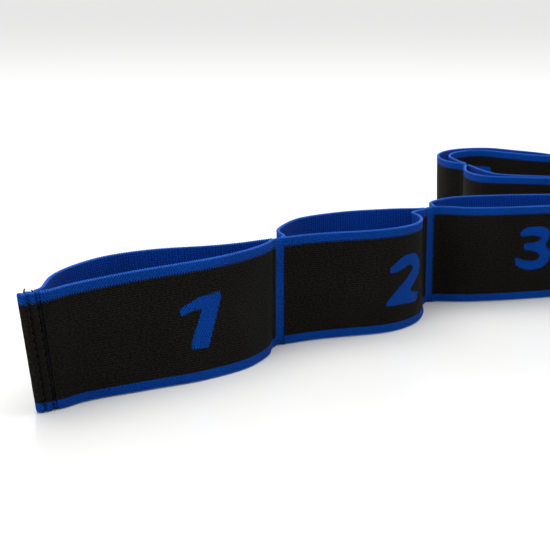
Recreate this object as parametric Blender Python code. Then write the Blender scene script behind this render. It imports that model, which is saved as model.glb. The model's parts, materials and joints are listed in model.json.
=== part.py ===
"""A looped elastic stretching strap, standing on its edge and folded back on itself.

The strap is one woven band. Along most of its length the band is two plies that open into a loop,
and at seven places the plies are woven into one, which makes a soft hinge between two loops.
Plan positions are in millimetres, seen from above; solids are made in metres with +Z up.
"""

import math

import bmesh
import bpy
import numpy as np

MM = 0.001

# Driving dimensions, in millimetres
STRAP_WIDTH = 40.0        # the strap stands on edge, so this is its height
PLY_THICKNESS = 1.1
PLY_GAP = 0.3             # between the two plies where the weave joins them
BAR_LENGTH = 3.2          # the solid woven bar, along the strap
BAR_THICKNESS = 2.4
ROOT_SETBACK = 2.1        # a ply starts this far from the axis of its fold
STATIONS = 31             # sections along one ply
HEM_LENGTH = 6.2          # the folded and sewn end
HEM_THICKNESS = 4.2
HEM_PINCH = 1.1           # how deep a row of stitches pulls each face in
HEM_ROWS = (1.0, 4.0)     # the stitch rows, from the loop's end of the hem
TAIL_LENGTH = 2.6         # the raw ends, folded back inside the loop
TAIL_THICKNESS = 1.2
THREAD_DIAMETER = 0.45
THREAD_CLEARANCE = 0.3
STITCH_PITCH = 2.6
STITCH_RISE = 0.25        # a stitch dips this far where it enters the cloth
SETTLE_LENGTH = 10.0      # a leaning edge is upright again this near a fold

LOOPS = 8

# Where the strap is joined, from the first hem to the last: x, y and the strap's heading in degrees
JUNCTIONS = [
    (-162, -155, 42),
    (-92, -84, 44),
    (-30.5, -20.5, 44),
    (67, 13, 14),
    (162, 38, 92),
    (71, 50, 168),
    (2, 103, 98),
    (60, 133, -14),
    (162, 150, 6),
]

# The middle of the whole strap in that plan, which the origin stands under
LAYOUT_MIDDLE = (-0.8, -2.1)

UPRIGHT = ((0, 0), (0, 0), (0, 0), (0, 0))

# The numbered face of each loop: the points its lower edge bends through, and how far its upper
# edge leans from the lower one, as x and y at the start, at each third and at the end
FRONT_PLIES = [
    ([(-154, -149), (-137, -138), (-118, -127), (-104, -114), (-96, -98)],
     ((-2.5, -10), (0, 2), (0, 7), (0, 0))),
    ([(-77, -76), (-54, -68), (-45, -61.5), (-38, -51), (-34, -38)],
     ((0, 0), (0, 0), (1, 0), (-12.5, -1))),
    ([(-14, -19), (8, -15), (30, -8), (50, 3)],
     ((0, 0), (0, -4), (0, -4), (0, 0))),
    ([(90, 15), (122, 9), (150, 14), (162, 26)], UPRIGHT),
    ([(163, 52), (151, 64), (126, 66), (96, 59)], UPRIGHT),
    ([(50, 59), (28, 65), (13, 70), (7, 84)], UPRIGHT),
    ([(0, 114), (-2, 128), (4, 142), (17, 149), (30, 140), (44, 131)],
     ((0, 0), (0, 6), (0, 8), (0, 0))),
    ([(80, 123), (108, 126), (135, 141)], UPRIGHT),
]

# The plain face of each loop, in the same form
BACK_PLIES = [
    ([(-162, -141), (-153, -121), (-137, -106), (-112, -95)],
     ((-2.5, -10), (0, 2), (0, 0), (0, 0))),
    ([(-92, -69), (-84, -46), (-66, -31), (-46, -24)], UPRIGHT),
    ([(-28, -8), (-17, 4), (6, 10), (40, 12)], UPRIGHT),
    ([(86, 22), (110, 34), (136, 32), (152, 26)], UPRIGHT),
    ([(156, 52), (143, 58), (122, 52), (95, 47)], UPRIGHT),
    ([(50, 54), (25, 60), (6, 64), (0, 75), (0, 90)], UPRIGHT),
    ([(-5, 111), (-8, 122), (-4, 140), (9, 153), (23, 155), (36, 147), (50, 139)],
     ((0, 0), (0, 8), (0, 10), (0, 0))),
    ([(78, 138), (105, 150), (135, 153)], UPRIGHT),
]

# Colours, roughness and metallic value
BLACK_CLOTH = ((0.016, 0.015, 0.014, 1), 0.85, 0.0)
BLUE_CLOTH = ((0.010, 0.085, 0.62, 1), 0.80, 0.0)
BLACK_THREAD = ((0.012, 0.012, 0.012, 1), 0.55, 0.0)


def unit(degrees):
    """A plan vector of length one with that heading."""
    return np.array([math.cos(math.radians(degrees)), math.sin(math.radians(degrees))])


def left_of(lines):
    """Each plan vector turned a quarter turn to its left."""
    return np.stack([-lines[:, 1], lines[:, 0]], axis=1)


def smooth_line(points, steps=12):
    """A smooth line through the points, a centripetal Catmull-Rom spline."""
    p = np.array(points, float)
    p = np.vstack([2 * p[0] - p[1], p, 2 * p[-1] - p[-2]])
    line = [p[1][None]]
    t = np.linspace(0, 1, steps + 1)[1:, None]
    for a, b, c, d in zip(p, p[1:], p[2:], p[3:]):
        ab, bc, cd = (math.sqrt(np.linalg.norm(q - r)) for q, r in ((a, b), (b, c), (c, d)))
        leave = ((b - a) / ab - (c - a) / (ab + bc) + (c - b) / bc) * bc
        arrive = ((c - b) / bc - (d - b) / (bc + cd) + (d - c) / cd) * bc
        line.append(
            (2 * t**3 - 3 * t**2 + 1) * b
            + (t**3 - 2 * t**2 + t) * leave
            + (3 * t**2 - 2 * t**3) * c
            + (t**3 - t**2) * arrive
        )
    return np.vstack(line)


def along(line):
    """How far along the line each of its points is."""
    return np.concatenate([[0], np.cumsum(np.linalg.norm(np.diff(line, axis=0), axis=1))])


def stations_of(line, count):
    """The line again with that many points, closer together near its two ends."""
    even = np.linspace(0, 1, count)
    eased = (1 - np.cos(even * math.pi)) / 2
    far = along(line)
    at = far[-1] * (0.55 * eased + 0.45 * even)
    return np.stack([np.interp(at, far, line[:, k]) for k in range(2)], axis=1)


def lean_of(lean, line, settles_at_start, settles_at_end):
    """How far the upper edge leans at each station: a cubic through the four leans."""
    far = along(line)
    u = far / far[-1]
    weights = (
        -4.5 * (u - 1 / 3) * (u - 2 / 3) * (u - 1),
        13.5 * u * (u - 2 / 3) * (u - 1),
        -13.5 * u * (u - 1 / 3) * (u - 1),
        4.5 * u * (u - 1 / 3) * (u - 2 / 3),
    )
    shift = sum(w[:, None] * np.array(q, float) for w, q in zip(weights, lean))
    for settles, away in ((settles_at_start, far), (settles_at_end, far[-1] - far)):
        if settles:
            t = np.clip((away - 2) / SETTLE_LENGTH, 0, 1)
            shift *= (t * t * (3 - 2 * t))[:, None]
    return shift


def ply_lines(number, side):
    """The lower and upper centre lines of a ply, and its headings at both ends.
    side is -1 for the numbered face and +1 for the plain one."""
    x0, y0, heading0 = JUNCTIONS[number - 1]
    x1, y1, heading1 = JUNCTIONS[number]
    bends, lean = (FRONT_PLIES if side < 0 else BACK_PLIES)[number - 1]
    first, last = number == 1, number == LOOPS
    offset = side * (PLY_THICKNESS + PLY_GAP) / 2
    near_hem = side * (TAIL_THICKNESS + PLY_THICKNESS + 2 * PLY_GAP) / 2
    setback0 = PLY_GAP if first else ROOT_SETBACK
    setback1 = PLY_GAP if last else ROOT_SETBACK
    start = np.array([x0, y0]) + unit(heading0) * setback0
    start = start + unit(heading0 + 90) * (near_hem if first else offset)
    end = np.array([x1, y1]) - unit(heading1) * setback1
    end = end + unit(heading1 + 90) * (near_hem if last else offset)
    stub0 = start + unit(heading0 + side * 8) * 2
    stub1 = end - unit(heading1 - side * 8) * 2
    line = smooth_line([start, stub0] + [np.array(b, float) for b in bends] + [stub1, end])
    lower = stations_of(line, STATIONS)
    upper = lower + lean_of(lean, lower, not first, not last)
    return lower, upper, heading0, heading1


def normals_of(line, heading0, heading1):
    """The left-hand normal at each station; the ends are square to the strap's heading."""
    tangent = np.gradient(line, axis=0)
    tangent[0] = unit(heading0)
    tangent[-1] = unit(heading1)
    return left_of(tangent / np.linalg.norm(tangent, axis=1)[:, None])


def material(name, finish):
    colour, roughness, metallic = finish
    made = bpy.data.materials.new(name)
    made.use_nodes = True
    shader = made.node_tree.nodes["Principled BSDF"]
    shader.inputs["Base Color"].default_value = colour
    shader.inputs["Roughness"].default_value = roughness
    shader.inputs["Metallic"].default_value = metallic
    made.diffuse_color = colour
    return made


def loft(name, sections, finish, fold):
    """A closed solid through rings of points, all with the same number of points in millimetres.
    It hangs under the empty of its fold."""
    mesh = bpy.data.meshes.new(name)
    bm = bmesh.new()
    home = np.array([*fold["axis"], 0.0])
    rings = [[bm.verts.new(tuple((np.array(p) - home) * MM)) for p in ring] for ring in sections]
    count = len(rings[0])
    for low, high in zip(rings, rings[1:]):
        for i in range(count):
            j = (i + 1) % count
            bm.faces.new((low[i], low[j], high[j], high[i]))
    bm.faces.new(rings[0][::-1])
    bm.faces.new(rings[-1])
    bmesh.ops.recalc_face_normals(bm, faces=bm.faces[:])
    bm.to_mesh(mesh)
    bm.free()
    made = bpy.data.objects.new(name, mesh)
    mesh.materials.append(material(name + "_cloth", finish))
    bpy.context.scene.collection.objects.link(made)
    made.parent = fold["empty"]
    return made


def ply(number, side, fold):
    """One layer of webbing from a fold to the next."""
    lower, upper, heading0, heading1 = ply_lines(number, side)
    reach = PLY_THICKNESS / 2
    low_n = normals_of(lower, heading0, heading1) * reach
    up_n = normals_of(upper, heading0, heading1) * reach
    sections = [
        (
            (*(lower[i] - low_n[i]), 0),
            (*(lower[i] + low_n[i]), 0),
            (*(upper[i] + up_n[i]), STRAP_WIDTH),
            (*(upper[i] - up_n[i]), STRAP_WIDTH),
        )
        for i in range(STATIONS)
    ]
    name = ("front_ply_" if side < 0 else "back_ply_") + str(number)
    return loft(name, sections, BLACK_CLOTH, fold)


def woven_bar(number, fold):
    """The solid bar where the two plies are woven into one, round the axis of the fold."""
    x, y, heading = JUNCTIONS[number]
    ahead, aside = unit(heading), unit(heading + 90)
    sides = 16
    ring = [
        np.array([x, y])
        + ahead * BAR_LENGTH / 2 * math.cos(2 * math.pi * k / sides)
        + aside * BAR_THICKNESS / 2 * math.sin(2 * math.pi * k / sides)
        for k in range(sides)
    ]
    sections = [[(*p, z) for p in ring] for z in (0, STRAP_WIDTH)]
    return loft(f"woven_bar_{number}_{number + 1}", sections, BLUE_CLOTH, fold)


def hem_half_thickness(reach):
    """Half the hem's thickness at a distance from its loop end: full ribs between stitch rows."""
    half = HEM_THICKNESS / 2
    for row in HEM_ROWS:
        near = max(0.0, 1 - abs(reach - row) / 1.0)
        half -= HEM_PINCH * near**1.5
    if reach > HEM_LENGTH - 1:
        half *= math.sqrt(max(0.25, 1 - (reach - HEM_LENGTH + 1) ** 2))
    return half


def hem_outline():
    """The hem's outline in plan as pairs (along, aside) from the end of the loop, outward.
    The raw ends stick back into the loop between its plies."""
    reaches = np.linspace(0, HEM_LENGTH, 29)
    side = [(r, hem_half_thickness(r)) for r in reaches]
    tail = [(-TAIL_LENGTH, TAIL_THICKNESS / 2), (0.0, TAIL_THICKNESS / 2)]
    upper = tail + side
    lower = [(r, -h) for r, h in reversed(upper)]
    return upper + lower


def hem_frame(end):
    """The place and outward heading of a hem, and how far its upper edge leans."""
    x, y, heading = JUNCTIONS[0 if end == 1 else LOOPS]
    outward = heading + 180 if end == 1 else heading
    lean = FRONT_PLIES[0][1][0] if end == 1 else (0, 0)
    return np.array([x, y], float), outward, np.array(lean, float)


def end_hem(end, fold):
    """The end of the strap: both plies turned in on themselves and sewn flat."""
    place, outward, lean = hem_frame(end)
    ring = [place + unit(outward) * a + unit(outward + 90) * s for a, s in hem_outline()]
    sections = [[(*p, 0) for p in ring], [(*(p + lean), STRAP_WIDTH) for p in ring]]
    return loft(f"end_hem_{end}", sections, BLACK_CLOTH, fold)


def stitch_row(end, row, side, fold):
    """One thread of a row of lock stitches, running up a face of the hem in its valley."""
    place, outward, lean = hem_frame(end)
    reach = HEM_ROWS[row]
    radius = THREAD_DIAMETER / 2
    surface = hem_half_thickness(reach) + THREAD_CLEARANCE + radius
    count = int(round(STRAP_WIDTH / STITCH_PITCH)) * 2
    clear = 0.8
    sections = []
    for k in range(count + 1):
        z = clear + (STRAP_WIDTH - 2 * clear) * k / count
        proud = surface + (STITCH_RISE if k % 2 else 0)
        centre = place + lean * z / STRAP_WIDTH
        centre = centre + unit(outward) * reach + unit(outward + 90) * side * proud
        ring = []
        for s in range(6):
            turn = math.radians(60 * s)
            p = centre + unit(outward) * radius * math.cos(turn)
            p = p + unit(outward + 90) * radius * math.sin(turn)
            ring.append((*p, z))
        sections.append(ring)
    layer = "needle_thread" if side < 0 else "bobbin_thread"
    return loft(f"{layer}_{end}_{row + 1}", sections, BLACK_THREAD, fold)


def folds():
    """One empty for each loop's body, at the fold that it turns about, each under the one before."""
    made = []
    for number in range(1, LOOPS + 1):
        x, y, _ = JUNCTIONS[number - 1]
        empty = bpy.data.objects.new(f"loop_{number}_body", None)
        bpy.context.scene.collection.objects.link(empty)
        before = made[-1] if made else None
        empty.parent = before["empty"] if before else None
        from_x, from_y = before["axis"] if before else LAYOUT_MIDDLE
        empty.location = ((x - from_x) * MM, (y - from_y) * MM, 0)
        made.append({"empty": empty, "axis": (float(x), float(y))})
    return made


def main():
    for old in list(bpy.data.objects):
        bpy.data.objects.remove(old)
    bodies = folds()
    for number in range(1, LOOPS + 1):
        fold = bodies[number - 1]
        ply(number, -1, fold)
        ply(number, 1, fold)
        if number < LOOPS:
            woven_bar(number, fold)
    for end in (1, LOOPS):
        fold = bodies[end - 1]
        end_hem(end, fold)
        for row in range(len(HEM_ROWS)):
            stitch_row(end, row, -1, fold)
            stitch_row(end, row, 1, fold)


main()
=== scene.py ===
# %% [markdown]
# # A looped stretching strap, from cloth to camera
# This lesson dresses a ready-made frame of a stretching strap. The frame has the strap's plies, bars and
# hems as plain solids. Here each one gets the webbing that a loom would make: two woven layers with blue
# selvedges, numbers woven in, solid bars where the layers join, and sewn ends.

# %% Load the frame
import json
import math

import bpy
import numpy as np
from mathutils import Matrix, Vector


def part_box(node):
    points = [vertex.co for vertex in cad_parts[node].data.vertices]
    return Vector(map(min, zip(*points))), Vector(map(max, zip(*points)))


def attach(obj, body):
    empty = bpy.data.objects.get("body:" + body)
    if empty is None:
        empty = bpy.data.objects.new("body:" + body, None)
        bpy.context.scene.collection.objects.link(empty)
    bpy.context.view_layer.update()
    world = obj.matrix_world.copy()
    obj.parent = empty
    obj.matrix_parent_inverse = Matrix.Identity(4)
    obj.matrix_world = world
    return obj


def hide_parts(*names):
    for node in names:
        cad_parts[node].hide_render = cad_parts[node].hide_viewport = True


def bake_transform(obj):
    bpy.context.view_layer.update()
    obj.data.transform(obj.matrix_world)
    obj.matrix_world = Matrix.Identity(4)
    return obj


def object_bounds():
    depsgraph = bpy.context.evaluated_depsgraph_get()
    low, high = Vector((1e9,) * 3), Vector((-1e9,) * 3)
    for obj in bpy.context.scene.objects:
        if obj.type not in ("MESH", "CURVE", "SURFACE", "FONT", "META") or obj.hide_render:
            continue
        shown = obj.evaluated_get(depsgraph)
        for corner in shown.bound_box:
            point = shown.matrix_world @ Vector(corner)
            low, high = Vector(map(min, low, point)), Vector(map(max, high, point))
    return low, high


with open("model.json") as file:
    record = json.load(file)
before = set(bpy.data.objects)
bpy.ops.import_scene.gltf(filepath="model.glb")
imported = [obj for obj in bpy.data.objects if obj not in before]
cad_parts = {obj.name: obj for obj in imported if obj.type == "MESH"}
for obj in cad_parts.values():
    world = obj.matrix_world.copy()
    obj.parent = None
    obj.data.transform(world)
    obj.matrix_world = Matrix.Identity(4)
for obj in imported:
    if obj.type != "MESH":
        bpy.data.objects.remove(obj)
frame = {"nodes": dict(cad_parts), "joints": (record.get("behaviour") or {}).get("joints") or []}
cad_low, cad_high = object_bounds()

# %% [markdown]
# ## Units and the strap's own sizes
# Webbing is easier to think about in millimetres, so everything below is in millimetres until a mesh is
# made. The strap's width is measured on the frame. The thickness of a ply, further down, is typed in, and
# so are a few rows of points near the upper edge. They suit a 40 mm strap and are changed by hand.

# %% Sizes
MM = 0.001
LOOPS = 8
WIDTH = (cad_high.z - cad_low.z) / MM
BORDER = 3.2              # the blue selvedge band along each edge
BAR = 4.0                 # the blue bar between two loops, along the strap


def fold_place(number):
    """The axis of the fold between loop number and the next, in plan."""
    joint = next(j for j in frame["joints"] if j["name"] == f"fold_{number}_{number + 1}")
    return np.array(joint["pos_m"][:2]) / MM


print(f"strap width {WIDTH:.1f} mm, first fold at {fold_place(1).round(1)}")

# %% [markdown]
# ## Reading a ply's path back from its solid
# Each ply is an upright strip with the same thickness everywhere. Its lower face is a ladder of point
# pairs, one thickness apart, and so is its upper face. The middle of each pair is a point of the ply's
# centre line. Starting from one end and always stepping to the nearest unused middle puts them in order.

# %% Centre lines


def middles(points, thickness):
    """The middles of the pairs of points that lie one thickness apart."""
    gap = np.linalg.norm(points[:, None] - points[None], axis=2)
    one, other = np.where(np.triu(np.abs(gap - thickness) < 0.02 * thickness, 1))
    return (points[one] + points[other]) / 2


def in_order(points, start):
    """The points as a line, from the one nearest to start."""
    left = list(range(len(points)))
    at = np.array(start, float)
    line = []
    while left:
        nearest = min(left, key=lambda i: np.linalg.norm(points[i] - at))
        at = points[nearest]
        line.append(at)
        left.remove(nearest)
    return np.array(line)


PLY = 1.1                 # the thickness of one ply in the frame


def ply_paths(node, start):
    """A ply's lower and upper centre lines, in order from the end nearest to start."""
    points = np.array([v.co for v in frame["nodes"][node].data.vertices]) / MM
    lines = []
    for level in (points[:, 2].min(), points[:, 2].max()):
        flat = points[np.abs(points[:, 2] - level) < 0.01][:, :2]
        flat = np.unique(flat.round(3), axis=0)
        lines.append(in_order(middles(flat, PLY), start))
    return lines


def ends_of(number):
    """Two points near the start and the end of a loop, in plan."""
    hem_first = np.array([*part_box("end_hem_1")[0][:2]]) / MM
    hem_last = np.array([*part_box(f"end_hem_{LOOPS}")[1][:2]]) / MM
    start = hem_first if number == 1 else fold_place(number - 1)
    end = hem_last if number == LOOPS else fold_place(number)
    return start, end


paths = {}
for number in range(1, LOOPS + 1):
    for side in ("front", "back"):
        paths[side, number] = ply_paths(f"{side}_ply_{number}", ends_of(number)[0])
print("stations per ply:", {len(line) for pair in paths.values() for line in pair})

# %% [markdown]
# ## A finer, smoother line
# The frame's plies have about thirty straight steps. Cloth has none, so the line is drawn again as a
# Catmull-Rom curve through the same points, and is then cut into short, even steps.

# %% Smooth lines


def distance_along(line):
    return np.concatenate([[0], np.cumsum(np.linalg.norm(np.diff(line, axis=0), axis=1))])


def smooth(line, steps=6):
    """A Catmull-Rom curve through the line's points."""
    p = np.vstack([2 * line[0] - line[1], line, 2 * line[-1] - line[-2]])
    t = np.linspace(0, 1, steps + 1)[1:, None]
    out = [line[:1]]
    for a, b, c, d in zip(p, p[1:], p[2:], p[3:]):
        ab, bc, cd = (max(1e-6, np.linalg.norm(q - r)) ** 0.5 for q, r in ((a, b), (b, c), (c, d)))
        leave = ((b - a) / ab - (c - a) / (ab + bc) + (c - b) / bc) * bc
        arrive = ((c - b) / bc - (d - b) / (bc + cd) + (d - c) / cd) * bc
        out.append(
            (2 * t**3 - 3 * t**2 + 1) * b
            + (t**3 - 2 * t**2 + t) * leave
            + (3 * t**2 - 2 * t**3) * c
            + (t**3 - t**2) * arrive
        )
    return np.vstack(out)


def resampled(line, shares):
    """The line's points at those shares of its length."""
    far = distance_along(line)
    return np.stack([np.interp(shares * far[-1], far, line[:, k]) for k in range(2)], axis=1)


def normals(line):
    """The left-hand normal in plan at each point."""
    tangent = np.gradient(line, axis=0)
    tangent /= np.linalg.norm(tangent, axis=1)[:, None]
    return np.stack([-tangent[:, 1], tangent[:, 0]], axis=1)


def fine_ply(side, number, step=0.5):
    """Lower and upper lines at even steps, their normals, and the distance along the ply."""
    lower, upper = (smooth(line) for line in paths[side, number])
    length = distance_along(lower)[-1] / 2 + distance_along(upper)[-1] / 2
    shares = np.linspace(0, 1, int(length / step) + 1)
    lower, upper = resampled(lower, shares), resampled(upper, shares)
    return {
        "lower": lower,
        "upper": upper,
        "lower_normal": normals(lower),
        "upper_normal": normals(upper),
        "along": shares * length,
        "length": length,
    }


plies = {key: fine_ply(*key) for key in paths}
for (side, number), ply in sorted(plies.items(), key=lambda item: item[0][1]):
    print(f"{side} ply {number}: {ply['length']:.1f} mm")

# %% [markdown]
# ## The woven numbers
# Each loop has its number near its middle, so that the user can say which loop to hold. A jacquard loom
# lifts blue threads where the number is. Rather than cutting meshes, this lesson keeps for each point of
# the cloth how far it is from the nearest blue area. The material turns that distance into a crisp edge.
# The first three figures are brush-like, so each is an outline: straight runs, and runs that a curve
# rounds off. The others are a few pen strokes with a pen width, leaning to the right.

# %% Outlines and pen strokes of the figures
FIGURE_PLACES = {1: (0.565, -0.3), 2: (0.56, -0.8), 3: (0.42, 2.0), 7: (0.53, 1.5)}
FIGURE_MIDDLE = (0.50, 0.0)   # elsewhere: a share of the loop's length, and millimetres above its middle
FIGURE_PEN = 2.15             # half the width of a stroke
FIGURE_SLANT = 0.30
OUTLINES = {
    1: [
        (
            "straight",
            [(-8.7, 5.4), (0.1, 8.3), (8.4, 8.8), (8.6, 6.8), (0.0, -9.0), (-6.7, -8.5)],
        ),
        ("straight", [(-6.3, -6.2), (0.2, 4.3), (-2.8, 4.3), (-8.5, 3.0)]),
    ],
    2: [
        (
            "round",
            [(-8.6, 3.6), (-9.4, 4.8), (-7.0, 7.0), (-2.6, 9.3), (2.0, 9.7), (7.0, 8.2), (10.4, 4.8)],
        ),
        ("round", [(10.4, 4.8), (9.6, 1.4), (6.4, -1.4), (2.0, -4.3)]),
        ("straight", [(4.6, -5.8), (10.0, -6.8), (8.6, -10.0), (-10.4, -8.9), (-9.9, -7.3)]),
        (
            "round",
            [(-9.9, -7.3), (-4.8, -3.0), (0.4, 0.8), (3.6, 4.0), (1.4, 5.6), (-3.6, 4.2), (-8.6, 3.6)],
        ),
    ],
    3: [
        ("round", [(-5.4, 5.2), (-5.8, 6.9), (-4.2, 8.6), (0.4, 9.3), (5.0, 8.5), (7.2, 6.0), (5.4, 1.0)]),
        ("round", [(5.4, 1.0), (7.9, -2.0), (7.4, -6.4), (3.4, -8.9), (-2.8, -9.0), (-7.0, -6.8)]),
        ("round", [(-7.0, -6.8), (-7.6, -3.8), (-2.4, -5.3), (2.6, -5.1), (3.2, -2.8), (-0.8, -0.9)]),
        (
            "round",
            [(-0.8, -0.9), (-3.8, -0.2), (-3.6, 2.1), (0.6, 2.4), (3.8, 4.2), (1.0, 5.3), (-5.4, 5.2)],
        ),
    ],
}
CURVED_STROKES = {
    5: [[(-3.6, 1.2), (-0.4, 2.6), (3.4, 1.0), (4.2, -3.2), (1.8, -7.4), (-2.2, -8.0), (-4.6, -6.0)]],
    6: [
        [(3.0, 7.8), (-1.6, 5.0), (-4.2, 0.0), (-4.2, -4.6), (-0.8, -8.0), (3.2, -6.8)],
        [(3.2, -6.8), (4.4, -3.2), (2.4, 0.2), (-1.2, 0.6), (-4.1, -2.4)],
    ],
    8: [
        [(0.2, 0.6), (-3.4, 2.6), (-3.0, 6.6), (0.6, 8.0), (3.8, 6.2), (3.6, 2.6), (0.2, 0.6)],
        [(0.2, 0.6), (-4.2, -2.2), (-4.0, -6.4), (0.0, -8.0), (4.0, -6.4), (4.2, -2.4), (0.2, 0.6)],
    ],
}
STRAIGHT_STROKES = {
    4: [[(2.4, 8.0), (2.4, -8.2)], [(2.0, 7.6), (-4.8, -2.6)], [(-4.8, -3.2), (5.4, -3.2)]],
    5: [[(4.2, 7.8), (-2.8, 7.8)], [(-2.8, 7.8), (-3.6, 1.2)]],
    7: [[(-4.8, 7.8), (4.8, 7.8)], [(4.4, 7.4), (-1.8, -8.0)]],
}


def to_segments(points, line):
    """The distance from each point to a line of segments."""
    best = np.full(len(points), np.inf)
    for a, b in zip(line, line[1:]):
        d = b - a
        t = np.clip((points - a) @ d / max(d @ d, 1e-9), 0, 1)
        best = np.minimum(best, np.linalg.norm(points - a - t[:, None] * d, axis=1))
    return best


def in_polygon(points, corners):
    inside = np.zeros(len(points), bool)
    for (x1, y1), (x2, y2) in zip(corners, np.roll(corners, -1, axis=0)):
        crosses = (y1 > points[:, 1]) != (y2 > points[:, 1])
        inside ^= crosses & (points[:, 0] < (x2 - x1) * (points[:, 1] - y1) / (y2 - y1 + 1e-9) + x1)
    return inside


def figure_distance(number, points):
    """How far points are from a figure; negative inside it. The figure's middle is the origin."""
    if number in OUTLINES:
        runs = [(kind, np.array(run, float)) for kind, run in OUTLINES[number]]
        corners = np.vstack([smooth(run, 4) if kind == "round" else run for kind, run in runs])
        edge = to_segments(points, np.vstack([corners, corners[:1]]))
        return np.where(in_polygon(points, corners), -edge, edge)
    upright = points - np.stack([points[:, 1] * FIGURE_SLANT, 0 * points[:, 1]], axis=1)
    strokes = [smooth(np.array(s, float)) for s in CURVED_STROKES.get(number, [])]
    strokes += [np.array(s, float) for s in STRAIGHT_STROKES.get(number, [])]
    return np.min([to_segments(upright, s) for s in strokes], axis=0) - FIGURE_PEN


print("figures:", sorted({*OUTLINES, *CURVED_STROKES, *STRAIGHT_STROKES}))

# %% [markdown]
# ## Weaving colours as nodes
# A flat image of cloth stays flat when the light moves, so the weave is built from nodes. Two values
# travel with every mesh point: where it is on the strap in millimetres, and how far it is from blue yarn.
# Waves along and across the strap give the rows of yarn, a little noise makes single yarns differ,
# and the same pattern lifts the surface through a Bump node. Sheen stands for the fuzz of the fibres.

# %% A small helper for node trees


class Tree:
    """A material's node tree, with short calls for the few nodes that the cloth needs."""

    def __init__(self, name):
        self.material = bpy.data.materials.new(name)
        self.material.use_nodes = True
        self.nodes = self.material.node_tree.nodes
        self.links = self.material.node_tree.links
        self.shader = self.nodes["Principled BSDF"]

    def new(self, kind, **settings):
        node = self.nodes.new(kind)
        for key, value in settings.items():
            setattr(node, key, value)
        return node

    def put(self, value, socket):
        """A link if the value is a socket, or the socket's own number."""
        if isinstance(value, bpy.types.NodeSocket):
            self.links.new(value, socket)
        else:
            socket.default_value = value

    def math(self, operation, a, b=0.0, c=0.0):
        node = self.new("ShaderNodeMath", operation=operation)
        for value, socket in zip((a, b, c), node.inputs):
            self.put(value, socket)
        return node.outputs[0]

    def mix(self, share, a, b):
        node = self.new("ShaderNodeMix", data_type="RGBA")
        self.put(share, node.inputs["Factor"])
        self.put(a, node.inputs["A"])
        self.put(b, node.inputs["B"])
        return node.outputs["Result"]

    def ramp(self, value, low, high):
        """0 below low and 1 above high."""
        node = self.new("ShaderNodeMapRange", interpolation_type="SMOOTHSTEP")
        self.put(value, node.inputs["Value"])
        node.inputs["From Min"].default_value = low
        node.inputs["From Max"].default_value = high
        return node.outputs["Result"]

    def attribute(self, name):
        return self.new("ShaderNodeAttribute", attribute_name=name)

    def noise(self, vector, scale, detail=2.0):
        node = self.new("ShaderNodeTexNoise")
        self.put(vector, node.inputs["Vector"])
        node.inputs["Scale"].default_value = scale
        node.inputs["Detail"].default_value = detail
        return node.outputs["Fac"]

    def scaled(self, vector, factors):
        node = self.new("ShaderNodeVectorMath", operation="MULTIPLY")
        self.put(vector, node.inputs[0])
        node.inputs[1].default_value = factors
        return node.outputs[0]

    def wave(self, a, per_mm, phase=0.0):
        """A sine from 0 to 1 along a length in millimetres."""
        turns = self.math("MULTIPLY_ADD", a, 2 * math.pi * per_mm, phase)
        return self.math("MULTIPLY_ADD", self.math("SINE", turns), 0.5, 0.5)


def rgb(red, green, blue):
    return (red, green, blue, 1.0)


# %% The webbing's material
BLACK_LOW, BLACK_HIGH = rgb(0.0006, 0.0006, 0.0005), rgb(0.0098, 0.0090, 0.0080)
BLUE_LOW, BLUE_HIGH = rgb(0.0002, 0.0110, 0.085), rgb(0.0008, 0.0480, 0.285)
LINING_LOW, LINING_HIGH = rgb(0.0004, 0.0090, 0.070), rgb(0.0016, 0.0400, 0.300)
# painted highlight: the colour that the beads along each edge are lightened towards
SELVEDGE_HIGHLIGHT = rgb(0.010, 0.085, 0.400)
CLOTH_SPECULAR = 0.03     # dry yarn has hardly any gloss
CLOTH_SHEEN = 0.012       # the fuzz of the fibres
YARN_RELIEF = 0.20        # the height of the weave, in millimetres


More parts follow.
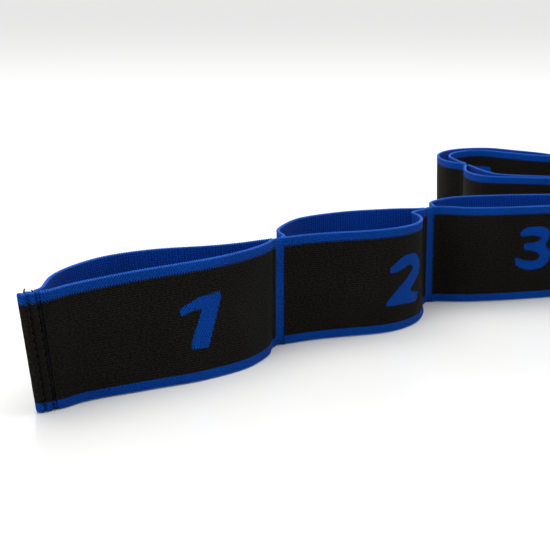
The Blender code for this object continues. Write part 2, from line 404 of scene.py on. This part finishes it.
def webbing_material():
    t = Tree("webbing")
    place = t.attribute("on_strap").outputs["Vector"]
    split = t.new("ShaderNodeSeparateXYZ")
    t.put(place, split.inputs[0])
    along, across, lining = split.outputs
    from_blue = t.attribute("from_blue").outputs["Fac"]

    # yarns: twill on the outside, upright ribs on the lining, a plait in the borders
    yarn_noise = t.noise(t.scaled(place, (1.05, 2.1, 1.0)), 1.0, 3.0)
    slow_noise = t.noise(t.scaled(place, (0.05, 0.08, 1.0)), 1.0)
    rows = t.wave(across, 1.25)
    columns = t.wave(along, 0.95)
    diagonal = t.wave(t.math("ADD", along, t.math("MULTIPLY", across, 1.7)), 0.85)
    twill = t.math("MULTIPLY", t.math("ADD", diagonal, rows), 0.5)
    ribs = t.math("MULTIPLY_ADD", t.math("MULTIPLY", columns, rows), 0.7, t.math("MULTIPLY", columns, 0.3))
    plait = t.wave(t.math("SUBTRACT", along, t.math("MULTIPLY", across, 1.1)), 0.82)
    plait = t.math("MULTIPLY", t.math("ADD", plait, diagonal), 0.5)

    # a stair-stepped edge between blue and black, one yarn deep
    steps = t.math("MULTIPLY_ADD", t.math("ADD", rows, columns), 0.38, -0.38)
    edge = t.math("ADD", from_blue, steps)
    is_black = t.ramp(edge, -0.10, 0.10)
    is_lining = t.ramp(lining, 0.45, 0.55)

    def dappled(pattern, low, high, noisy=0.75, least=0.40):
        share = t.math("MULTIPLY_ADD", yarn_noise, noisy, t.math("MULTIPLY", pattern, 1.25 - noisy))
        return t.mix(t.ramp(share, least, 0.90), low, high)

    blue = dappled(plait, BLUE_LOW, BLUE_HIGH)
    black = dappled(twill, BLACK_LOW, BLACK_HIGH, 0.95)
    outside = t.mix(is_black, blue, black)
    inside = dappled(ribs, LINING_LOW, LINING_HIGH, 0.9, 0.20)
    cloth = t.mix(is_lining, outside, inside)

    # painted highlight: the outermost yarn of each edge is lightened in beads, as if it caught the light
    from_edge = t.math("MINIMUM", across, t.math("SUBTRACT", WIDTH, across))
    at_edge = t.math("SUBTRACT", 1.0, t.ramp(from_edge, 0.0, 0.55))
    picot_highlight = t.math("MULTIPLY", at_edge, t.wave(along, 1.15))
    cloth = t.mix(t.math("MULTIPLY", picot_highlight, 0.65), cloth, SELVEDGE_HIGHLIGHT)
    shade = t.math("MULTIPLY_ADD", slow_noise, 0.5, 0.75)
    tone = t.new("ShaderNodeHueSaturation")
    t.put(shade, tone.inputs["Value"])
    t.put(cloth, tone.inputs["Color"])
    t.put(tone.outputs["Color"], t.shader.inputs["Base Color"])

    height = t.math("ADD", t.math("MULTIPLY", twill, 0.8), t.math("MULTIPLY", yarn_noise, 0.5))
    lining_height = t.math("ADD", ribs, t.math("MULTIPLY", yarn_noise, 0.3))
    blend = t.new("ShaderNodeMix", data_type="FLOAT")
    t.put(is_lining, blend.inputs["Factor"])
    t.put(height, blend.inputs["A"])
    t.put(lining_height, blend.inputs["B"])
    raised = t.math("MULTIPLY_ADD", t.math("SUBTRACT", 1.0, is_black), 0.35, blend.outputs["Result"])
    bump = t.new("ShaderNodeBump")
    bump.inputs["Strength"].default_value = 0.8
    bump.inputs["Distance"].default_value = YARN_RELIEF * MM
    t.put(raised, bump.inputs["Height"])
    t.put(bump.outputs["Normal"], t.shader.inputs["Normal"])
    t.put(t.math("MULTIPLY_ADD", yarn_noise, 0.25, 0.68), t.shader.inputs["Roughness"])
    t.shader.inputs["Specular IOR Level"].default_value = CLOTH_SPECULAR
    t.shader.inputs["Sheen Weight"].default_value = CLOTH_SHEEN
    t.shader.inputs["Sheen Roughness"].default_value = 0.45
    return t.material


webbing = webbing_material()
print("webbing material:", len(webbing.node_tree.nodes), "nodes")

# %% [markdown]
# ## From sections to a mesh
# Every cloth piece here is a row of closed sections joined into a skin, with a cap on each end. The helper
# takes the sections as a grid of points, and with them the two values that the material reads.

# %% Mesh from sections


def skin(name, grid, on_strap, from_blue, finish):
    """A closed mesh through grid[station][point], in millimetres, with the material's two values."""
    stations, count = grid.shape[:2]
    quads = []
    for i in range(stations - 1):
        for j in range(count):
            k = (j + 1) % count
            quads.append((i * count + j, (i + 1) * count + j, (i + 1) * count + k, i * count + k))
    quads.append(tuple(range(count)))
    quads.append(tuple((stations - 1) * count + j for j in reversed(range(count))))
    mesh = bpy.data.meshes.new(name)
    mesh.from_pydata((grid.reshape(-1, 3) * MM).tolist(), [], quads)
    place = mesh.attributes.new("on_strap", "FLOAT_VECTOR", "POINT")
    place.data.foreach_set("vector", on_strap.astype(np.float32).ravel())
    blue = mesh.attributes.new("from_blue", "FLOAT", "POINT")
    blue.data.foreach_set("value", from_blue.astype(np.float32).ravel())
    mesh.shade_smooth()
    mesh.materials.append(finish)
    made = bpy.data.objects.new(name, mesh)
    bpy.context.scene.collection.objects.link(made)
    if signed_volume(mesh) < 0:
        mesh.flip_normals()
    return made


def signed_volume(mesh):
    """The mesh's volume, below zero if its faces point inwards."""
    mesh.calc_loop_triangles()
    corners = np.array([t.vertices for t in mesh.loop_triangles])
    points = np.array([v.co for v in mesh.vertices])
    a, b, c = (points[corners[:, k]] for k in range(3))
    return (a * np.cross(b, c)).sum() / 6


# %% [markdown]
# ## One ply of webbing
# In section a ply is a thin strip with rounded selvedges. The borders are a touch thicker than the field,
# because the edge yarns are packed tighter. The numbered side needs close rows of points, so that the
# figures' edges stay true; the lining can do with few. A slow, small waviness keeps it from looking cast.

# %% The section of a ply
FIELD_DIP = 0.05          # how much lower the field is than the borders, on each face
ROLL, RIPPLE = 0.16, 0.07  # how far the cloth waves in and out, slowly and quickly
OUTER_ROWS = np.concatenate([[0.30, 0.9, 2.0], np.linspace(BORDER, WIDTH - BORDER, 31), [38.0, 39.1, 39.7]])
LINING_ROWS = np.array([39.7, 39.1, 37.8, 36.4, 30.0, 24.0, 18.0, 12.0, 3.6, 2.2, 0.9, 0.30])


def half_thickness(height):
    """Half of a ply's thickness at that height: round at the edges and thinner in the field."""
    from_edge = np.minimum(height, WIDTH - height)
    full = PLY / 2
    round_edge = np.sqrt(np.clip(1 - (1 - np.clip(from_edge / full, 0, 1)) ** 2, 0.12, 1))
    dip = FIELD_DIP * np.clip((from_edge - BORDER + 0.4) / 0.8, 0, 1)
    return full * round_edge - dip


def waviness(along, height, seed):
    """A slow in and out of the cloth, in millimetres, that dies away towards the folds."""
    calm = np.clip(np.minimum(along, along.max() - along) / 12, 0, 1)
    roll = ROLL * np.sin(along / 9.1 + seed) * np.sin(height / 13.0 + 2 * seed)
    ripple = RIPPLE * np.sin(along / 3.7 + 3 * seed + height / 17.0)
    return calm * (roll + ripple)


def section_rows():
    """The heights round a ply's section, and which of its two faces each is on: 0 outside, 1 lining."""
    heights = np.concatenate([[0.0], OUTER_ROWS, [WIDTH], LINING_ROWS])
    face = np.concatenate([[0.5], np.zeros(len(OUTER_ROWS)), [0.5], np.ones(len(LINING_ROWS))])
    return heights, face


def ply_seed(side, number):
    """A number of its own for each ply, so that no two wave alike."""
    return number + (0.5 if side == "back" else 0.0)


print("rows of points:", len(OUTER_ROWS), "outside,", len(LINING_ROWS), "on the lining")

# %% Where the blue yarn is
BAR_SETBACK = 2.1         # a ply of the frame starts this far from the fold's axis
print("blue: borders of", BORDER, "mm, bars of", BAR, "mm")


def blue_distance(side, number, along, heights, length):
    """How far a point of a ply's outer face is from blue yarn."""
    border = np.minimum(heights, WIDTH - heights) - BORDER
    nearest = np.broadcast_to(border, (len(along), len(heights))).copy()
    if side == "front":
        grid = np.stack(np.broadcast_arrays(along[:, None], heights[None]), axis=2).reshape(-1, 2)
        share, above = FIGURE_PLACES.get(number, FIGURE_MIDDLE)
        middle = np.array([share * length, WIDTH / 2 + above])
        nearest = np.minimum(nearest, figure_distance(number, grid - middle).reshape(nearest.shape))
        if number > 1:
            nearest = np.minimum(nearest, (along + BAR_SETBACK - BAR / 2)[:, None])
        if number < LOOPS:
            before = length + BAR_SETBACK - along
            nearest = np.minimum(nearest, (before - BAR / 2)[:, None])
    return nearest


# %% Plies
PATTERN_STEP = 110.0      # each loop's weave starts this much further on, so that no two look the same


def make_ply(side, number):
    ply = plies[side, number]
    heights, face = section_rows()
    outward = -1.0 if side == "front" else 1.0
    sign = np.where(face == 0.5, 0.0, np.where(face == 0, outward, -outward))
    share = heights / WIDTH
    along = ply["along"]
    low_share = (1 - share)[None, :, None]
    high_share = share[None, :, None]
    middle = ply["lower"][:, None] * low_share + ply["upper"][:, None] * high_share
    normal = ply["lower_normal"][:, None] * low_share + ply["upper_normal"][:, None] * high_share
    wave = waviness(along[:, None], heights[None], ply_seed(side, number))
    off = sign[None] * half_thickness(heights)[None] + wave
    flat = middle + normal * off[:, :, None]
    grid = np.concatenate([flat, np.broadcast_to(heights, flat.shape[:2])[:, :, None]], axis=2)
    in_pattern = along[:, None] + number * PATTERN_STEP
    on_strap = np.stack(np.broadcast_arrays(in_pattern, heights[None], face[None]), axis=2)
    from_blue = blue_distance(side, number, along, heights, ply["length"])
    from_blue = np.where(face[None] > 0.4, -2.0, from_blue)
    made = skin(f"{side}_web_{number}", grid, on_strap, from_blue, webbing)
    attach(made, f"loop_{number}")
    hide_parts(f"{side}_ply_{number}")
    return made


webs = {key: make_ply(*key) for key in plies}
print("plies:", len(webs), "with", sum(len(w.data.polygons) for w in webs.values()), "faces")

# %% [markdown]
# ## The bars between loops
# At a bar the loom weaves both layers into one, so the strap is a single thick cloth there, with a valley
# on each side. A bar is also the strap's hinge, between one loop and the next. Here it is one short piece
# across the joint, joined to neither loop, and its two ends meet the plies that it joins.

# %% The section of a bar
BAR_VALLEY = 0.80         # half the cloth's thickness on the fold's axis
BAR_SWELL = 0.42          # how much that grows by the time it meets the plies
BAR_OVERLAP = 0.35        # how far a bar runs into the plies at each end


def bar_profile(reach):
    """Half the thickness of the joined cloth at a signed distance from the fold's axis."""
    return BAR_VALLEY + BAR_SWELL * min(1.0, (abs(reach) / (BAR_SETBACK + 0.2)) ** 2.5)


def joint_heading(number):
    """The unit vector along the strap at a fold, from the ends of the plies on both sides."""
    before = (plies["front", number]["lower"][-1] + plies["back", number]["lower"][-1]) / 2
    after = (plies["front", number + 1]["lower"][0] + plies["back", number + 1]["lower"][0]) / 2
    d = after - before
    return d / np.linalg.norm(d)


print("bar thickness on the axis:", 2 * bar_profile(0), "mm")

# %% Bars
BAR_PATTERN = 108.0       # where a bar lies in its loop's weave


def make_bar(number):
    axis = fold_place(number)
    ahead = joint_heading(number)
    aside = np.array([-ahead[1], ahead[0]])
    reaches = np.linspace(-BAR_SETBACK - BAR_OVERLAP, BAR_SETBACK + BAR_OVERLAP, 25)
    heights = np.concatenate([[0.0], OUTER_ROWS[::3], [WIDTH], OUTER_ROWS[::3][::-1]])
    face = np.concatenate([[0.0], -np.ones(len(OUTER_ROWS[::3])), [0.0], np.ones(len(OUTER_ROWS[::3]))])
    rows = []
    for reach in reaches:
        half = bar_profile(reach) * np.sqrt(
            np.clip(1 - (1 - np.clip(np.minimum(heights, WIDTH - heights) / 0.8, 0, 1)) ** 2, 0.1, 1)
        )
        flat = axis + ahead * reach + aside * (face * half)[:, None]
        rows.append(np.column_stack([flat, heights]))
    grid = np.array(rows)
    along = reaches[:, None] + number * PATTERN_STEP + BAR_PATTERN
    on_strap = np.stack(np.broadcast_arrays(along, heights[None], 0 * heights[None]), axis=2)
    border = np.minimum(heights, WIDTH - heights)[None] - BORDER
    bar = (np.abs(reaches) - BAR / 2)[:, None]
    plain_side = np.broadcast_to(border, (len(reaches), len(heights)))
    from_blue = np.where(face[None] > 0, plain_side, np.minimum(plain_side, bar))
    made = skin(f"bar_web_{number}_{number + 1}", grid, on_strap, from_blue, webbing)
    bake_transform(made)
    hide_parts(f"woven_bar_{number}_{number + 1}")
    return made


bars = [make_bar(number) for number in range(1, LOOPS)]
print("bars:", len(bars))

# %% [markdown]
# ## The sewn ends
# The loom's last plies are turned in on themselves and sewn flat with two rows of stitches. The rows pull
# the pack of cloth in, so the hem swells into two ribs. In plan it is an outline; here it is a skin
# whose sections are that outline at many heights, with softly rounded top and bottom.

# %% Hem outline
HEM_ROWS = (1.0, 4.0)     # the stitch rows, from the loop's end of the hem
HEM_LENGTH = 6.2
HEM_HALF = 2.05
RIB_DEPTH, RIB_WIDTH = 1.15, 0.55   # how deep and how wide a stitch row's valley is
ROUND_END = 1.6           # the length over which the outer end rounds off
TAIL = 4.5                # the turned-in ends, back into the loop


def hem_half(reach):
    """Half the hem's thickness: ribs between the stitch rows, and a round outer end."""
    half = HEM_HALF
    for row in HEM_ROWS:
        half -= RIB_DEPTH * math.exp(-(((reach - row) / RIB_WIDTH) ** 2))
    if reach > HEM_LENGTH - ROUND_END:
        half *= math.sqrt(max(0.0, 1 - ((reach - HEM_LENGTH + ROUND_END) / ROUND_END) ** 2))
    return half


def hem_side():
    """The outline's half as (along, aside), from the raw end inside the loop to the outer end."""
    tail = [(-TAIL, 0.05), (-TAIL + 0.15, 0.45), (-TAIL + 0.8, 0.52), (-0.4, 0.55), (-0.1, 0.75)]
    reaches = np.linspace(0.15, HEM_LENGTH, 40)
    return tail + [(r, hem_half(r)) for r in reaches]


def hem_frame(end):
    """Where the hem meets the loop, its outward direction, and its upper edge's lean."""
    number = 1 if end == 1 else LOOPS
    at = 0 if end == 1 else -1
    front, back = plies["front", number], plies["back", number]
    lower = (front["lower"][at] + back["lower"][at]) / 2
    upper = (front["upper"][at] + back["upper"][at]) / 2
    across = back["lower"][at] - front["lower"][at]
    ahead = np.array([across[1], -across[0]]) / np.linalg.norm(across)
    outward = -ahead if end == 1 else ahead
    return lower + outward * 0.3, upper + outward * 0.3, outward


print("hem:", len(hem_side()), "points on each side of its outline")

# %% Hems
HEM_PATTERN = 500.0       # keeps the hems' weave apart from the loops'


def make_hem(end):
    lower, upper, outward = hem_frame(end)
    aside = np.array([-outward[1], outward[0]])
    side = np.array(hem_side())
    outline = np.vstack([side, side[::-1] * (1, -1)])
    heights = np.concatenate([[0.0, 0.15, 0.5], np.linspace(1.1, WIDTH - 1.1, 28), [39.5, 39.85, WIDTH]])
    grid = []
    for height in heights:
        inset = 0.45 * (1 - math.sqrt(1 - (1 - min(1, min(height, WIDTH - height) / 0.9)) ** 2))
        middle = lower + (upper - lower) * height / WIDTH
        puff = 1 + 0.03 * math.sin(height * 0.9 + end)
        shrunk = outline.copy()
        shrunk[:, 1] -= np.sign(outline[:, 1]) * np.minimum(inset, np.abs(outline[:, 1]) * 0.6)
        shrunk[:, 1] *= puff
        flat = middle + shrunk[:, :1] * outward + shrunk[:, 1:] * aside
        grid.append(np.column_stack([flat, np.full(len(flat), height)]))
    grid = np.array(grid)
    edge = np.minimum(heights, WIDTH - heights)[:, None]
    in_pattern = outline[None, :, 0] + HEM_PATTERN * end
    on_strap = np.stack(np.broadcast_arrays(in_pattern, heights[:, None], 0 * edge), axis=2)
    from_blue = np.broadcast_to(edge - BORDER, grid.shape[:2])
    made = skin(f"hem_{end}", grid, on_strap, from_blue, webbing)
    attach(made, f"loop_{end}")
    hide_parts(f"end_hem_{end}")
    return made


hems = {end: make_hem(end) for end in (1, LOOPS)}
print("hems:", sorted(h.name for h in hems.values()))

# %% [markdown]
# ## Stitches
# A lock stitch shows as a short, fat bead of thread between two needle holes. Each bead is a small
# bent tube. All beads of one row are one piece, which stands for the frame's plain thread.

# %% Thread material
THREAD_LOW, THREAD_HIGH = rgb(0.0015, 0.0015, 0.0015), rgb(0.012, 0.012, 0.012)


def thread_material():
    t = Tree("thread")
    place = t.new("ShaderNodeTexCoord").outputs["Object"]
    twist = t.noise(t.scaled(place, (6000.0, 6000.0, 2500.0)), 1.0)
    t.put(t.mix(twist, THREAD_LOW, THREAD_HIGH), t.shader.inputs["Base Color"])
    t.put(t.math("MULTIPLY_ADD", twist, 0.3, 0.35), t.shader.inputs["Roughness"])
    bump = t.new("ShaderNodeBump")
    bump.inputs["Strength"].default_value = 0.5
    bump.inputs["Distance"].default_value = 0.05 * MM
    t.put(twist, bump.inputs["Height"])
    t.put(bump.outputs["Normal"], t.shader.inputs["Normal"])
    t.shader.inputs["Specular IOR Level"].default_value = 0.15
    return t.material


thread = thread_material()
print("thread material:", len(thread.node_tree.nodes), "nodes")

# %% Tubes


def tube(line, radii, sides=8):
    """Points and faces of a closed tube along a line in space, in millimetres."""
    tangent = np.gradient(line, axis=0)
    tangent /= np.linalg.norm(tangent, axis=1)[:, None]
    helper = np.array([0.31, 0.52, 0.79])
    one = np.cross(tangent, helper)
    one /= np.linalg.norm(one, axis=1)[:, None]
    two = np.cross(tangent, one)
    turn = np.linspace(0, 2 * math.pi, sides, endpoint=False)
    ring = np.cos(turn)[None, :, None] * one[:, None] + np.sin(turn)[None, :, None] * two[:, None]
    points = (line[:, None] + ring * np.asarray(radii)[:, None, None]).reshape(-1, 3)
    faces = []
    for i in range(len(line) - 1):
        for j in range(sides):
            k = (j + 1) % sides
            faces.append((i * sides + j, i * sides + k, (i + 1) * sides + k, (i + 1) * sides + j))
    faces.append(tuple(reversed(range(sides))))
    faces.append(tuple((len(line) - 1) * sides + j for j in range(sides)))
    return points, faces


def joined(name, parts, finish):
    """One mesh object of several tubes."""
    points, faces = [], []
    for part_points, part_faces in parts:
        base = sum(len(p) for p in points)
        points.append(part_points)
        faces += [tuple(base + i for i in face) for face in part_faces]
    mesh = bpy.data.meshes.new(name)
    mesh.from_pydata((np.vstack(points) * MM).tolist(), [], faces)
    mesh.shade_smooth()
    mesh.materials.append(finish)
    made = bpy.data.objects.new(name, mesh)
    bpy.context.scene.collection.objects.link(made)
    return made


# %% Rows of stitches
STITCH = 2.6              # from needle hole to needle hole
THREAD_RADIUS = 0.24
BEAD_SUNK, BEAD_ARCH = 0.16, 0.34   # how deep a bead's ends sit, and how far its middle stands above them


def make_stitches(end, row, side):
    """The beads of thread of one row, on the numbered side (-1) or the plain side (+1)."""
    lower, upper, outward = hem_frame(end)
    aside = np.array([-outward[1], outward[0]])
    face = side if end == LOOPS else -side
    reach = HEM_ROWS[row]
    beads = []
    holes = np.arange(1.0, WIDTH - 1.0, STITCH)
    for low, high in zip(holes, holes[1:]):
        line = []
        for t in np.linspace(0, 1, 9):
            height = low + 0.15 + (high - low - 0.3) * t
            proud = hem_half(reach) - BEAD_SUNK + BEAD_ARCH * math.sin(math.pi * t) ** 0.6
            middle = lower + (upper - lower) * height / WIDTH
            flat = middle + outward * reach + aside * face * proud
            line.append([*flat, height])
        radii = THREAD_RADIUS * np.sin(np.linspace(0.28, math.pi - 0.28, 9)) ** 0.5
        beads.append(tube(np.array(line), radii))
    layer = "needle" if side < 0 else "bobbin"
    made = joined(f"{layer}_stitches_{end}_{row + 1}", beads, thread)
    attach(made, f"loop_{end}")
    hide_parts(f"{layer}_thread_{end}_{row + 1}")
    return made


stitches = {
    end: [make_stitches(end, row, side) for row in range(2) for side in (-1, 1)] for end in (1, LOOPS)
}
print("rows of stitches:", sum(len(rows) for rows in stitches.values()))

# %% [markdown]
# ## Loose thread ends
# Where a row of stitches runs off the cloth, the machine leaves a short tail. It is a few millimetres of
# limp thread, so it is a thin bent tube and not a cord.

# %% Thread tails
TAIL_TIPS = {0: (0.5, 0.3, 0.5), 1: (-0.5, -0.2, 1.2)}   # along, across and above, for each row
TAIL_RADIUS = 0.26


def make_thread_tail(end, row):
    """The cut end of a row's thread, at the top of the hem."""
    lower, upper, outward = hem_frame(end)
    aside = np.array([-outward[1], outward[0]])
    foot = upper + outward * HEM_ROWS[row]
    along, across, rise = TAIL_TIPS[row]
    line = []
    for t in np.linspace(0, 1, 10):
        flat = foot + outward * along * t**2 + aside * across * t
        line.append([*flat, WIDTH - 1.2 + (rise + 1.2) * math.sin(t * math.pi / 2)])
    tail = tube(np.array(line), np.full(10, TAIL_RADIUS))
    made = joined(f"thread_tail_{end}_{row + 1}", [tail], thread)
    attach(made, f"loop_{end}")
    return made


tails = {end: [make_thread_tail(end, row) for row in range(2)] for end in (1, LOOPS)}
print("thread tails:", sum(len(t) for t in tails.values()))

# %% [markdown]
# ## Selvedge loops
# On a needle loom the weft turns round the edge of the cloth at every pick. Those turns are the tiny
# bright beads along the strap's edges. Each is a half ring of yarn over the edge, from one face to the
# other. There are over two hundred on each ply, so each has few faces, and those of a ply are one piece.

# %% Selvedge yarn material
YARN_LOW, YARN_HIGH = rgb(0.002, 0.045, 0.270), rgb(0.016, 0.105, 0.450)


def selvedge_material():
    t = Tree("selvedge_yarn")
    place = t.new("ShaderNodeTexCoord").outputs["Object"]
    single = t.noise(t.scaled(place, (900.0, 900.0, 900.0)), 1.0)
    t.put(t.mix(single, YARN_LOW, YARN_HIGH), t.shader.inputs["Base Color"])
    t.put(t.math("MULTIPLY_ADD", single, 0.2, 0.5), t.shader.inputs["Roughness"])
    t.shader.inputs["Specular IOR Level"].default_value = 0.12
    t.shader.inputs["Sheen Weight"].default_value = 0.03
    return t.material


selvedge_yarn = selvedge_material()
print("selvedge material:", len(selvedge_yarn.node_tree.nodes), "nodes")

# %% Selvedge loops
PICK = 0.9                # from one turn of the weft to the next
YARN = 0.17               # the radius of the weft


def between(ply, line, place):
    """The value of one of a ply's lines at a distance along it."""
    return np.array([np.interp(place, ply["along"], ply[line][:, k]) for k in range(2)])


def make_selvedge(side, number):
    ply = plies[side, number]
    places = np.arange(0.6, ply["length"] - 0.6, PICK)
    seed = ply_seed(side, number)
    turns = []
    for height, lift, edge in ((0.0, -1, "lower"), (WIDTH, 1, "upper")):
        for place in places:
            centre = between(ply, edge, place)
            normal = between(ply, edge + "_normal", place)
            ahead = np.array([normal[1], -normal[0]])
            centre = centre + normal * waviness(np.array([place, ply["length"]]), height, seed)[0]
            line = []
            for angle in np.linspace(-0.35, math.pi + 0.35, 7):
                flat = centre + normal * math.cos(angle) * (PLY / 2 - 0.04)
                flat = flat + ahead * 0.12 * math.cos(angle)
                line.append([*flat, height + lift * ((PLY / 2 - 0.2) * math.sin(angle) - PLY / 2 + 0.2)])
            turns.append(tube(np.array(line), np.full(7, YARN), sides=5))
    made = joined(f"{side}_selvedge_{number}", turns, selvedge_yarn)
    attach(made, f"loop_{number}")
    return made


selvedges = {key: make_selvedge(*key) for key in plies}
print("selvedge pieces:", len(selvedges))

# %% [markdown]
# ## The pieces that go with each ply
# Every ply is a sheet as wide as the strap and as long as a loop. All sixteen are given one nominal length.
# The lengths printed above run from 92 to 121 mm instead, because the frame's plies were laid out by eye.
# On the real strap they would be equal, so a closer frame would even them out. Here each ply's selvedge,
# and the hem, stitches and thread tails of the end loops' front plies, are gathered in a list.

for (side, number), web in webs.items():
    going = [selvedges[side, number]]
    if side == "front" and number in hems:
        going += [hems[number], *stitches[number], *tails[number]]
print("sheets declared:", len(webs))

# %% [markdown]
# ## Table, light and camera
# The strap stands on a smooth, pale table in a bright, even studio. A large light above and behind fills
# the loops, a weaker one in front shapes the weave, and the world adds an even white.

# %% Table
TABLE_HALF = 30.0         # metres, so that its edge is out of sight
TABLE_DROP = 0.0002       # metres below the strap, so that the two don't flicker
TABLE_COLOUR = rgb(0.57, 0.57, 0.565)


def table_material():
    t = Tree("table")
    t.shader.inputs["Base Color"].default_value = TABLE_COLOUR
    t.shader.inputs["Roughness"].default_value = 0.22
    t.shader.inputs["Specular IOR Level"].default_value = 0.35
    return t.material


corners = [(x * TABLE_HALF, y * TABLE_HALF, 0) for x, y in ((-1, -1), (1, -1), (1, 1), (-1, 1))]
table_mesh = bpy.data.meshes.new("table")
table_mesh.from_pydata(corners, [], [(0, 1, 2, 3)])
table_mesh.materials.append(table_material())
table = bpy.data.objects.new("table", table_mesh)
table.location.z = -TABLE_DROP
bpy.context.scene.collection.objects.link(table)
print("table:", 2 * TABLE_HALF, "m wide")

# %% Light


def area_light(name, place, aim, size, power):
    data = bpy.data.lights.new(name, "AREA")
    data.shape = "RECTANGLE"
    data.size, data.size_y = size
    data.energy = power
    made = bpy.data.objects.new(name, data)
    made.location = place
    direction = made.location - Vector(aim)
    made.rotation_euler = direction.to_track_quat("Z", "Y").to_euler()
    bpy.context.scene.collection.objects.link(made)
    return made


area_light("overhead", (0.1, 0.3, 1.5), (0.0, 0.0, 0.0), (2.2, 1.6), 34)
area_light("front_left", (-1.1, -1.3, 0.9), (0.0, -0.05, 0.02), (1.0, 1.0), 16)
world = bpy.data.worlds.new("studio")
world.use_nodes = True
world.node_tree.nodes["Background"].inputs["Color"].default_value = rgb(1.0, 1.0, 1.0)
world.node_tree.nodes["Background"].inputs["Strength"].default_value = 1.0
bpy.context.scene.world = world
bpy.context.scene.view_settings.view_transform = "Standard"
print("lights:", len(bpy.data.lights))

# %% Camera
FOCAL_LENGTH = 85.1       # millimetres, on a 36 mm sensor
CAMERA_PLACE = (-0.0922, -0.5399, 0.132)
CAMERA_PITCH = 13.0       # degrees below the horizon

lens = bpy.data.cameras.new("camera")
lens.lens = FOCAL_LENGTH
lens.sensor_width = 36.0
lens.clip_start = 0.01
camera = bpy.data.objects.new("camera", lens)
camera.location = CAMERA_PLACE
camera.rotation_euler = (math.radians(90 - CAMERA_PITCH), 0, 0)
bpy.context.scene.collection.objects.link(camera)
bpy.context.scene.camera = camera
print("camera at", CAMERA_PLACE, "looking", CAMERA_PITCH, "degrees down")

# %% Sizes and the end
print("cad box", [round(v / MM, 1) for v in cad_high - cad_low])
